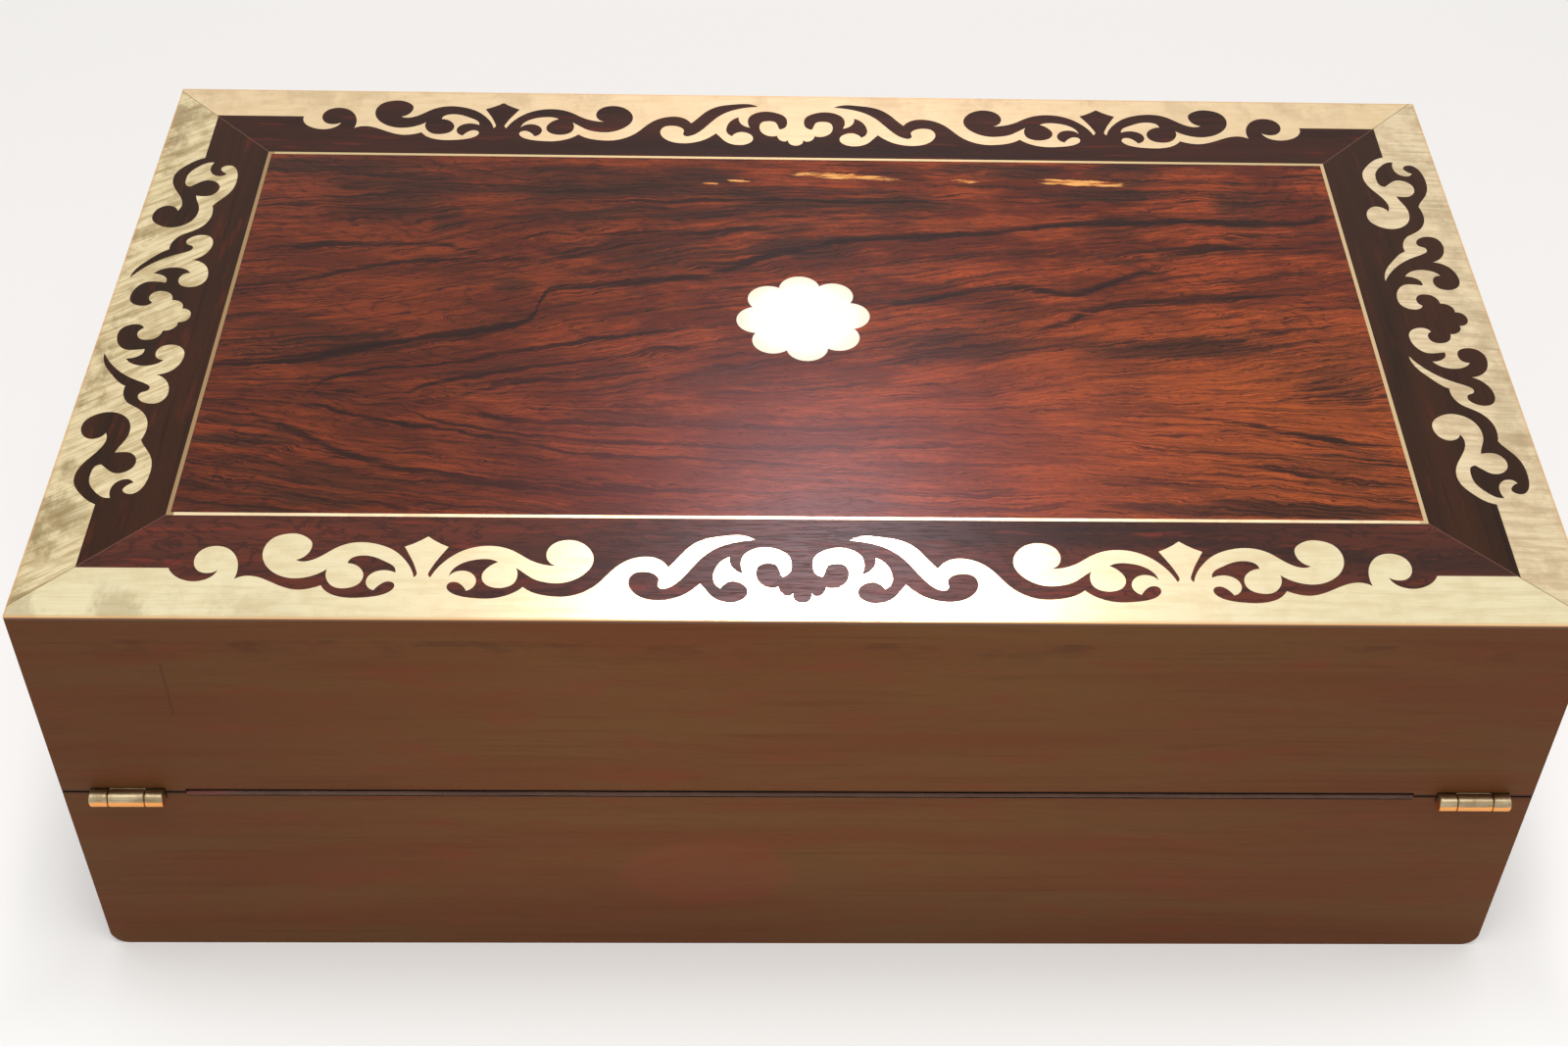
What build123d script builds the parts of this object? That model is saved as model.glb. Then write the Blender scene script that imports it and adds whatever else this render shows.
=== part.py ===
import math
import os

from build123d import *

# The closed box stands on its underside, centred on the origin, with +Z up.
# Its hinged back faces -Y and its locked front faces +Y. All sizes are in millimetres.
width = 400.0
depth = 234.0
height = 138.0
joint_rise = 40.0

# Carcass boards
wall = 10.0
bottom_board_t = 6.0
lid_board_t = 7.0
veneer_t = 1.2
foot_radius = 5.0
rim_gap = 0.4

# How far a cutting shape runs past the face that it opens
past = 1.0

# Hinges
hinge_standoff = 1.9
hinge_inset_left = 17.8
hinge_inset_right = 16.6
barrel_length = 19.6
barrel_radius = 2.4
knuckle_chamfer = 0.25
pin_radius = 1.0
pin_fit = 0.05
barrel_clearance = 0.35
knuckle_gap = 0.2
leaf_t = 1.3
leaf_reach = 9.6
screw_spread = 12.0
screw_head_radius = 1.7
screw_head_h = 1.0
screw_shank_radius = 0.8
screw_length = 7.0
screw_slot_w = 0.4
screw_slot_depth = 0.3
screw_fit = 0.03

# Leather across the fold
fold_inset_left = 33.4
fold_inset_right = 33.2
fold_web_t = 0.9
fold_roll_radius = 0.8
fold_roll_sink = 0.2
leather_clearance = 0.1

# Writing flaps
flap_t = 8.0
flap_face_gap = 0.3
flap_side_gap = 0.5
flap_end_gap = 0.6
flap_band_w = 22.0
flap_leather_t = 1.0
ledge_w = 6.0
ledge_h = 6.0
ledge_gap = 0.3

# Pen and ink compartments behind the upper flap. Drops are measured down from the hinge axis.
pen_section_w = 57.0
partition_t = 6.0
partition_ledge = 3.5
partition_drop = 0.6
pen_floor_drop = 19.0
pen_floor_t = 5.0
well_w = 44.0
divider_t = 4.0
divider_drop = 3.0
tray_under_drop = 3.0
tray_t = 20.0
tray_gap = 0.3
tray_trough_radius = 30.0
tray_trough_depth = 14.0
tray_end_margin = 8.0
bearer_w = 5.0
bearer_h = 5.0

# Inkwells
bottle_side = 34.0
bottle_h = 32.0
bottle_corner = 3.0
bottle_wall = 4.0
neck_radius = 10.0
neck_bore = 7.5
neck_h = 5.0
collar_t = 2.5
collar_fit = 0.1
cap_h = 5.0
cap_round = 2.0
cap_gap = 0.2
cap_knuckle_radius = 1.6
cap_knuckle_w = 6.0
cap_lug_w = 2.5
cap_pin_radius = 0.6
cap_pin_fit = 0.05

# Lock
lock_w = 44.0
lock_h = 26.0
lock_case_t = 7.0
lock_plate_t = 1.2
hook_spacing = 16.0
hook_t = 1.8
hook_w = 3.0
hook_foot = 3.0
hook_foot_h = 2.0
hook_length = 7.0
bolt_throw = 3.0
bolt_t = 1.8
bolt_bar_h = 2.5
bolt_prong_h = 1.8
bolt_play = 0.4
keyhole_radius = 2.0
keyhole_drop = 16.0
keyhole_slot_w = 1.8
keyhole_slot_l = 6.0
escutcheon_t = 0.8
escutcheon_w = 14.0
escutcheon_h = 18.0
escutcheon_drop = 2.0

# Catch of the lower flap
catch_plate_w = 14.0
catch_plate_l = 24.0
catch_plate_t = 1.3
catch_bolt_w = 7.0
catch_bolt_t = 1.4
catch_play = 0.1
catch_throw = 3.0
catch_knob_radius = 2.2
catch_knob_h = 2.5
catch_keep_depth = 4.0

# Marquetry on the lid, outer edge to centre
border_near = 36.5
border_far = 34.3
border_left = 33.0
border_right = 35.7
stringing_w = 1.1
strip_near = 17.2
strip_far = 14.7
strip_left = 14.0
strip_right = 15.8
near_lead = 37.5
far_lead_left = 41.0
far_lead_right = 40.0
left_lead_near = 40.3
left_lead_far = 38.0
right_lead_near = 44.1
right_lead_far = 30.5
near_offset = -1.5
far_offset = -2.5
left_offset = 1.6
right_offset = 5.4
far_scroll_reach = 33.6
far_scroll_scale = 0.95
right_scroll_reach = 30.5
flower_x = -0.6
flower_y = 3.1
flower_tip_radius = 19.3
flower_notch_radius = 15.4
flower_turn = 27.0
flower_petals = 8

# Places that follow from the sizes above
half_w = width / 2
back_y = -depth / 2
front_y = depth / 2
inner_x = half_w - wall
inner_back = back_y + wall
inner_front = front_y - wall
veneer_z = height - veneer_t
lid_board_z = veneer_z - lid_board_t
axis_y = back_y - hinge_standoff
axis_z = height / 2
slope = math.atan2(joint_rise, depth + hinge_standoff)
joint_plane = Plane(
    origin=(0, axis_y, axis_z),
    x_dir=(1, 0, 0),
    z_dir=(0, -math.sin(slope), math.cos(slope)),
)
rim = rim_gap / 2


def along(y, above=0.0):
    """Distance up the slope from the hinge axis to the depth y, at a height above the joint plane."""
    return (y - axis_y + above * math.sin(slope)) / math.cos(slope)


def block(x, y, z):
    """A square-cornered solid between two limits on each axis."""
    size = [high - low for low, high in (x, y, z)]
    middle = [(low + high) / 2 for low, high in (x, y, z)]
    return Pos(*middle) * Box(*size)


def sloped(x, u, n):
    """The same, with u measured up the slope from the hinge axis and n square to the joint plane."""
    return joint_plane.location * block(x, u, n)


def sloped_rod(x, u, n, radius):
    """A round rod along X, centred at u and n of the slope."""
    middle = Pos((x[0] + x[1]) / 2, u, n) * Rot(0, 90, 0)
    return joint_plane.location * middle * Cylinder(radius, x[1] - x[0])


def rod_x(x, y, z, radius):
    """A round rod along X, centred at y and z."""
    return Pos((x[0] + x[1]) / 2, y, z) * Rot(0, 90, 0) * Cylinder(radius, x[1] - x[0])


reach = width + depth + height
below_joint = sloped((-reach, reach), (-reach, reach), (-reach, -rim))
above_joint = sloped((-reach, reach), (-reach, reach), (rim, reach))
interior = block((-inner_x, inner_x), (inner_back, inner_front), (bottom_board_t, lid_board_z))
parts = {}

# Hinge places along the back
hinge_centres = {
    "left": -half_w + hinge_inset_left,
    "right": half_w - hinge_inset_right,
}
middle_knuckle_half = barrel_length / 4
fold_x = (-half_w + fold_inset_left, half_w - fold_inset_right)
screw_u = (barrel_radius + barrel_clearance + leaf_reach) / 2


def hinge_cuts(side):
    """Everything cut from the rim of a hinge wall: barrel notches, leaf rebates, screw holes and the
    leather's rebate. side is -1 in the base and 1 in the lid."""
    cuts = []
    for centre in hinge_centres.values():
        notch = (centre - barrel_length / 2 - knuckle_gap, centre + barrel_length / 2 + knuckle_gap)
        cuts.append(sloped_rod(notch, 0, 0, barrel_radius + barrel_clearance))
        seat = sorted((0, side * (rim + leaf_t)))
        cuts.append(sloped(notch, (0, leaf_reach + knuckle_gap), seat))
        cuts.extend(screw(centre + x, side, screw_fit) for x in (-screw_spread / 2, screw_spread / 2))
    web = sorted((0, side * (rim + fold_web_t + leather_clearance)))
    spread = (fold_x[0] - leather_clearance, fold_x[1] + leather_clearance)
    cuts.append(sloped(spread, (0, along(inner_back) + wall), web))
    return cuts


def screw(x, side, grow=0.0):
    """A countersunk screw square to the joint plane. grow makes the hole that takes it."""
    head = Pos(0, 0, -screw_head_h / 2) * Cone(
        screw_shank_radius + grow, screw_head_radius + grow, screw_head_h
    )
    shank = Pos(0, 0, -screw_length / 2) * Cylinder(screw_shank_radius + grow, screw_length + 2 * grow)
    solid = head + shank
    if grow == 0:
        solid -= Pos(0, 0, -screw_slot_depth / 2) * Box(
            screw_slot_w, 2 * screw_head_radius, screw_slot_depth
        )
    turn = Rot(180, 0, 0) if side > 0 else Rot(0, 0, 0)
    return joint_plane.location * Pos(x, screw_u, side * rim) * turn * solid


def hinge_leaf(centre, side):
    """One leaf with its knuckles: the two outer ones in the base, the middle one in the lid."""
    half = barrel_length / 2
    inner = middle_knuckle_half
    if side < 0:
        knuckles = [(centre - half, centre - inner - knuckle_gap / 2)]
        knuckles.append((centre + inner + knuckle_gap / 2, centre + half))
    else:
        knuckles = [(centre - inner + knuckle_gap / 2, centre + inner - knuckle_gap / 2)]
    thickness = sorted((side * rim, side * (rim + leaf_t)))
    plate_u = (barrel_radius + barrel_clearance, leaf_reach)
    leaf = sloped((centre - half, centre + half), plate_u, thickness)
    for span in knuckles:
        knuckle = sloped_rod(span, 0, 0, barrel_radius)
        rims = knuckle.edges().filter_by(GeomType.CIRCLE)
        leaf += sloped(span, (0, leaf_reach), thickness)
        leaf += chamfer(rims, knuckle_chamfer)
    leaf -= sloped_rod((centre - half - past, centre + half + past), 0, 0, pin_radius + pin_fit)
    for x in (-screw_spread / 2, screw_spread / 2):
        leaf -= screw(centre + x, side, screw_fit)
    return leaf


def hinges():
    """Leaves, pins and screws of the two butt hinges."""
    for name, centre in hinge_centres.items():
        parts[f"hinge_leaf_base_{name}"] = hinge_leaf(centre, -1)
        parts[f"hinge_leaf_lid_{name}"] = hinge_leaf(centre, 1)
    half = barrel_length / 2
    parts["hinge_pins"] = [
        sloped_rod((centre - half, centre + half), 0, 0, pin_radius) for centre in hinge_centres.values()
    ]
    for name, side in (("base", -1), ("lid", 1)):
        parts[f"hinge_screws_{name}"] = [
            screw(centre + x, side)
            for centre in hinge_centres.values()
            for x in (-screw_spread / 2, screw_spread / 2)
        ]


def fold_leather():
    """Leather in the fold: a rolled edge just under the back face with its web on the base rim, and a web
    on the lid rim."""
    roll_u = along(back_y) + fold_roll_sink
    web_end = along(inner_back) - leather_clearance
    web = sloped(fold_x, (roll_u, web_end), (-rim - fold_web_t, -rim))
    parts["fold_leather"] = web + sloped_rod(fold_x, roll_u, 0, fold_roll_radius)
    start = roll_u + fold_roll_radius + barrel_clearance
    parts["fold_leather_lid"] = sloped(fold_x, (start, web_end), (rim, rim + fold_web_t))


def base_carcass():
    """Bottom board with rounded side edges, and four walls under the sloping joint."""
    bottom = block((-half_w, half_w), (back_y, front_y), (0, bottom_board_t))
    low_sides = bottom.edges().filter_by(Axis.Y).group_by(Axis.Z)[0]
    parts["base_bottom"] = fillet(low_sides, foot_radius)
    up = (bottom_board_t, lid_board_z)
    back = block((-half_w, half_w), (back_y, inner_back), up) & below_joint
    for cut in hinge_cuts(-1):
        back -= cut
    parts["base_back_wall"] = back
    front = block((-half_w, half_w), (inner_front, front_y), up) & below_joint
    for cut in lock_cuts():
        front -= cut
    parts["base_front_wall"] = front
    parts["base_left_wall"] = block((-half_w, -inner_x), (inner_back, inner_front), up) & below_joint
    parts["base_right_wall"] = block((inner_x, half_w), (inner_back, inner_front), up) & below_joint


def lid_carcass():
    """Lid board over four walls above the sloping joint."""
    parts["lid_board"] = block((-half_w, half_w), (back_y, front_y), (lid_board_z, veneer_z))
    up = (bottom_board_t, lid_board_z)
    back = block((-half_w, half_w), (back_y, inner_back), up) & above_joint
    for cut in hinge_cuts(1):
        back -= cut
    parts["lid_back_wall"] = back
    front = block((-half_w, half_w), (inner_front, front_y), up) & above_joint
    front -= link_plate_body(catch_play)
    parts["lid_front_wall"] = front - catch_keep()
    parts["lid_left_wall"] = block((-half_w, -inner_x), (inner_back, inner_front), up) & above_joint
    parts["lid_right_wall"] = block((inner_x, half_w), (inner_back, inner_front), up) & above_joint


# Writing flaps: each turns about the rolled edge of its leather, which lies along the fold
flap_half_w = inner_x - flap_side_gap
partition_back = inner_front - pen_section_w - partition_t
partition_front = partition_back + partition_t
upper_flap_u = (
    along(inner_back) + flap_side_gap,
    along(partition_back + partition_ledge, -flap_t) - flap_end_gap,
)
lower_flap_u = (
    along(inner_back, flap_t) + flap_side_gap,
    along(inner_front) - flap_end_gap,
)


def writing_flap(name, side, u):
    """Board, crossbanding on three edges, and the leather they frame, rolled along the fold edge."""
    veneer = sorted((side * flap_face_gap, side * (flap_face_gap + veneer_t)))
    board_n = sorted((side * (flap_face_gap + veneer_t), side * flap_t))
    board = sloped((-flap_half_w, flap_half_w), u, board_n)
    band = sloped((-flap_half_w, flap_half_w), u, veneer)
    inner = (flap_half_w - flap_band_w, u[1] - flap_band_w)
    band -= sloped((-inner[0], inner[0]), (u[0] - past, inner[1]), veneer)
    clear = leather_clearance
    face = flap_face_gap + veneer_t - clear
    leather_n = sorted((side * (face - flap_leather_t), side * face))
    leather_x = (clear - inner[0], inner[0] - clear)
    roll = flap_leather_t / 2
    leather = sloped(leather_x, (u[0] + roll, inner[1] - clear), leather_n)
    leather += sloped_rod(leather_x, u[0] + roll, side * (face - roll), roll)
    parts[f"{name}_flap_board"] = board
    parts[f"{name}_flap_band"] = band
    parts[f"{name}_flap_leather"] = leather


def ledges():
    """Strips on the side walls that carry the flaps."""
    for name, side, u in (("base", -1, upper_flap_u), ("lid", 1, lower_flap_u)):
        n = sorted((side * (flap_t + ledge_gap), side * (flap_t + ledge_gap + ledge_h)))
        left = sloped((-inner_x, -inner_x + ledge_w), u, n) & interior
        right = sloped((inner_x - ledge_w, inner_x), u, n) & interior
        if side < 0:
            clear_of_partition = block((-half_w, half_w), (back_y, partition_back), (0, height))
            left &= clear_of_partition
            right &= clear_of_partition
        parts[f"{name}_flap_ledges"] = [left, right]


pen_floor_z = axis_z - pen_floor_drop
tray_under_z = axis_z - tray_under_drop
divider_x = inner_x - well_w
tray_half_w = divider_x - divider_t - tray_gap
tray_y = (partition_front + tray_gap, inner_front - tray_gap)
well_centre_y = (partition_front + inner_front) / 2


def pen_section():
    """Partition under the flap's free edge, floor, dividers, tray bearers and the scooped pen tray."""
    floor_z = (pen_floor_z - pen_floor_t, pen_floor_z)
    tall = (bottom_board_t, height)
    partition = block((-inner_x, inner_x), (partition_back, partition_front), tall)
    partition &= sloped((-reach, reach), (-reach, reach), (-reach, -partition_drop))
    rebate_y = partition_back + partition_ledge
    rebate = block((-half_w, half_w), (partition_back - past, rebate_y), (0, height))
    partition -= rebate & sloped((-reach, reach), (-reach, reach), (-flap_t - ledge_gap, reach))
    parts["pen_partition"] = partition
    section_y = (partition_front, inner_front)
    parts["pen_floor"] = block((-inner_x, inner_x), section_y, floor_z)
    under_rim = sloped((-reach, reach), (-reach, reach), (-reach, -divider_drop))
    tall = (pen_floor_z, height)
    parts["well_dividers"] = [
        block((-divider_x, -divider_x + divider_t), section_y, tall) & under_rim,
        block((divider_x - divider_t, divider_x), section_y, tall) & under_rim,
    ]
    between = (-divider_x + divider_t, divider_x - divider_t)
    bearer_z = (tray_under_z - bearer_h, tray_under_z)
    parts["tray_bearers"] = [
        block(between, (partition_front, partition_front + bearer_w), bearer_z),
        block(between, (inner_front - bearer_w, inner_front), bearer_z),
    ]
    tray_top = tray_under_z + tray_t
    tray = block((-tray_half_w, tray_half_w), tray_y, (tray_under_z, tray_top))
    scoop_z = tray_top - tray_trough_depth + tray_trough_radius
    scoop_reach = math.sqrt(tray_trough_radius**2 - (tray_trough_radius - tray_trough_depth) ** 2)
    scoop_end = tray_half_w - tray_end_margin - scoop_reach
    middle_y = (tray_y[0] + tray_y[1]) / 2
    scoop = rod_x((-scoop_end, scoop_end), middle_y, scoop_z, tray_trough_radius)
    scoop += Pos(-scoop_end, middle_y, scoop_z) * Sphere(tray_trough_radius)
    scoop += Pos(scoop_end, middle_y, scoop_z) * Sphere(tray_trough_radius)
    parts["pen_tray"] = tray - scoop


# Inkwells stand in the middle of the two wells
well_centres = {"left": -inner_x + well_w / 2, "right": inner_x - well_w / 2}
shoulder_z = pen_floor_z + bottle_h
collar_inner = neck_radius + collar_fit
collar_radius = collar_inner + collar_t
cap_axis_y = well_centre_y - collar_radius - cap_knuckle_radius
cap_axis_z = shoulder_z + neck_h + cap_gap / 2


def inkwell(name, x):
    """Square glass bottle, brass collar with two lugs, and a hinged brass cap."""
    side = bottle_side / 2
    bottle = block((-side, side), (-side, side), (0, bottle_h))
    bottle = fillet(bottle.edges().filter_by(Axis.Z), bottle_corner)
    bottle += Pos(0, 0, bottle_h + (neck_h - cap_gap) / 2) * Cylinder(neck_radius, neck_h - cap_gap)
    hollow = side - bottle_wall
    bottle -= block((-hollow, hollow), (-hollow, hollow), (bottle_wall, bottle_h - bottle_wall))
    bottle -= Pos(0, 0, bottle_h) * Cylinder(neck_bore, bottle_h)
    parts[f"ink_bottle_{name}"] = Pos(x, well_centre_y, pen_floor_z) * bottle

    knuckle = (x - cap_knuckle_w / 2, x + cap_knuckle_w / 2)
    lugs = [
        (knuckle[0] - knuckle_gap - cap_lug_w, knuckle[0] - knuckle_gap),
        (knuckle[1] + knuckle_gap, knuckle[1] + knuckle_gap + cap_lug_w),
    ]
    collar = Pos(x, well_centre_y, shoulder_z + neck_h / 2) * Cylinder(collar_radius, neck_h)
    arm_y = (cap_axis_y, well_centre_y)
    for lug in lugs:
        collar += rod_x(lug, cap_axis_y, cap_axis_z, cap_knuckle_radius)
        collar += block(lug, arm_y, (cap_axis_z - cap_knuckle_radius, shoulder_z + neck_h))
    collar -= Pos(x, well_centre_y, shoulder_z + neck_h / 2) * Cylinder(collar_inner, neck_h + 2 * past)
    pin_hole = (lugs[0][0] - past, lugs[1][1] + past)
    collar -= rod_x(pin_hole, cap_axis_y, cap_axis_z, cap_pin_radius + cap_pin_fit)
    parts[f"ink_collar_{name}"] = collar

    cap_z = shoulder_z + neck_h + cap_gap
    cap = Pos(x, well_centre_y, cap_z + cap_h / 2) * Cylinder(collar_radius, cap_h)
    rim_edge = cap.edges().group_by(Axis.Z)[-1]
    cap = fillet(rim_edge, cap_round)
    cap += block(knuckle, arm_y, (cap_z, cap_axis_z + cap_knuckle_radius))
    cap += rod_x(knuckle, cap_axis_y, cap_axis_z, cap_knuckle_radius)
    cap -= rod_x(pin_hole, cap_axis_y, cap_axis_z, cap_pin_radius + cap_pin_fit)
    parts[f"ink_cap_{name}"] = cap
    return rod_x((lugs[0][0], lugs[1][1]), cap_axis_y, cap_axis_z, cap_pin_radius)


# Lock: a case let into the front wall, and a link plate with two hooks in the lid rim
lock_back_y = inner_front
lock_deep_y = inner_front + lock_case_t
lock_rim_z = axis_z + (inner_front - axis_y) * math.tan(slope)
lock_z = (lock_rim_z - lock_h, height)
hook_u = along((lock_back_y + lock_deep_y) / 2, -hook_length / 2)
hook_xs = (-hook_spacing / 2, hook_spacing / 2)


def lock_block(clear, y):
    """The outline of the lock case, cut off flush with the base rim."""
    x = (clear - lock_w / 2, lock_w / 2 - clear)
    return block(x, y, (lock_z[0] + clear, lock_z[1])) & below_joint


def keyhole(y):
    """Round eye and slot of the keyhole, through the depth y."""
    eye_z = lock_rim_z - keyhole_drop
    middle = (y[0] + y[1]) / 2
    eye = Pos(0, middle, eye_z) * Rot(90, 0, 0) * Cylinder(keyhole_radius, y[1] - y[0])
    slot_x = (-keyhole_slot_w / 2, keyhole_slot_w / 2)
    return eye + block(slot_x, y, (eye_z - keyhole_slot_l, eye_z))


def escutcheon_body():
    """An oval plate around the keyhole, let in flush with the front."""
    centre_z = lock_rim_z - keyhole_drop - escutcheon_drop
    oval = Ellipse(escutcheon_w / 2, escutcheon_h / 2)
    flat = Plane(origin=(0, front_y, centre_z), x_dir=(1, 0, 0), z_dir=(0, -1, 0))
    return extrude(flat * oval, escutcheon_t)


def lock_cuts():
    """The mortise for the lock, the keyhole and the seat of its escutcheon."""
    return [
        lock_block(0, (lock_back_y - past, lock_deep_y)),
        keyhole((lock_back_y, front_y + past)),
        escutcheon_body(),
    ]


def hook_span(x):
    """The slot in the case that lets one hook and its foot through."""
    return (x - hook_foot - bolt_play, x + hook_w + bolt_play)


def lock():
    """Case with two slots in its top plate, the sliding bolt inside, and the keyhole's escutcheon."""
    t = lock_plate_t
    case = lock_block(0, (lock_back_y, lock_deep_y))
    hollow = block(
        (t - lock_w / 2, lock_w / 2 - t),
        (lock_back_y + t, lock_deep_y - t),
        (lock_z[0] + t, height),
    )
    case -= hollow & sloped((-reach, reach), (-reach, reach), (-reach, -rim - t))
    for x in hook_xs:
        case -= block(hook_span(x), (lock_back_y + t, lock_deep_y - t), lock_z)
    case -= keyhole((lock_back_y + t, lock_deep_y + past))
    parts["lock_case"] = case
    parts["lock_escutcheon"] = escutcheon_body() - keyhole((inner_front, front_y + past))

    thick = (hook_u - bolt_t / 2, hook_u + bolt_t / 2)
    prong_n = (-rim - hook_length + hook_foot_h + bolt_play, 0)
    prong_n = (prong_n[0], prong_n[0] + bolt_prong_h)
    bar_n = (-rim - hook_length - bolt_play - bolt_bar_h, -rim - hook_length - bolt_play)
    tip = -hook_foot - bolt_play
    upright = tip - bolt_throw - bolt_bar_h
    bolt = sloped((hook_xs[0] + upright, hook_xs[1] + tip), thick, bar_n)
    for x in hook_xs:
        bolt += sloped((x + upright, x + upright + bolt_bar_h), thick, (bar_n[0], prong_n[1]))
        bolt += sloped((x + upright, x + tip), thick, prong_n)
    parts["lock_bolt"] = bolt


def link_plate_body(clear=0.0):
    """The plate in the lid rim that faces the lock."""
    x = (-lock_w / 2 - clear, lock_w / 2 + clear)
    end = clear if clear > 0 else -rim
    plate = block(x, (lock_back_y - past, lock_deep_y + clear), (bottom_board_t, height))
    plate &= block(x, (inner_front, front_y), (0, height))
    return plate & sloped((-reach, reach), (-reach, reach), (-end, rim + lock_plate_t))


def link_plate():
    """Link plate with two hooks whose feet point at the bolt's prongs."""
    plate = link_plate_body() & above_joint
    thick = (hook_u - hook_t / 2, hook_u + hook_t / 2)
    for x in hook_xs:
        plate += sloped((x, x + hook_w), thick, (-rim - hook_length, rim + lock_plate_t / 2))
        foot_n = (-rim - hook_length, -rim - hook_length + hook_foot_h)
        plate += sloped((x - hook_foot, x + hook_w), thick, foot_n)
    parts["link_plate"] = plate


# Catch at the free edge of the lower flap
catch_u = (lower_flap_u[1] - catch_plate_l, lower_flap_u[1])
catch_bolt_n = flap_face_gap + catch_plate_t + catch_play


def catch_keep():
    """The hole in the lid's front wall that takes the catch bolt."""
    half = catch_bolt_w / 2 + catch_play
    u = (along(inner_front) - 2 * past, along(inner_front) + catch_keep_depth)
    keep_n = (catch_bolt_n - catch_play, catch_bolt_n + catch_bolt_t + 2 * catch_play)
    return sloped((-half, half), u, keep_n)


def flap_catch():
    """Recess in the flap, cover plate with a slot, and the sliding bolt with its knob."""
    half = catch_plate_w / 2
    recess = sloped((-half, half), (catch_u[0], catch_u[1] + past), (0, flap_face_gap + catch_plate_t))
    bolt_half = catch_bolt_w / 2
    groove_n = (0, catch_bolt_n + catch_bolt_t + catch_play)
    groove_x = (-bolt_half - catch_play, bolt_half + catch_play)
    margin = (catch_plate_l - catch_throw) / 4
    groove = sloped(groove_x, (catch_u[0] + margin / 2, catch_u[1] + past), groove_n)
    for name in ("lower_flap_board", "lower_flap_band", "lower_flap_leather"):
        parts[name] -= recess
        parts[name] -= groove
    knob_u = catch_u[0] + catch_plate_l / 2
    slot_half = catch_knob_radius + catch_play
    plate = sloped((-half, half), catch_u, (flap_face_gap, flap_face_gap + catch_plate_t))
    slot_u = (knob_u - slot_half, knob_u + slot_half + catch_throw)
    plate -= sloped((-slot_half, slot_half), slot_u, (0, catch_bolt_n))
    parts["flap_catch_plate"] = plate
    bolt_n = (catch_bolt_n, catch_bolt_n + catch_bolt_t)
    bolt = sloped((-bolt_half, bolt_half), (catch_u[0] + margin, catch_u[1]), bolt_n)
    knob_n = (-catch_knob_h, catch_bolt_n + catch_bolt_t / 2)
    middle = Pos(0, knob_u, (knob_n[0] + knob_n[1]) / 2)
    bolt += joint_plane.location * middle * Cylinder(catch_knob_radius, knob_n[1] - knob_n[0])
    parts["flap_catch_bolt"] = bolt


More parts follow.
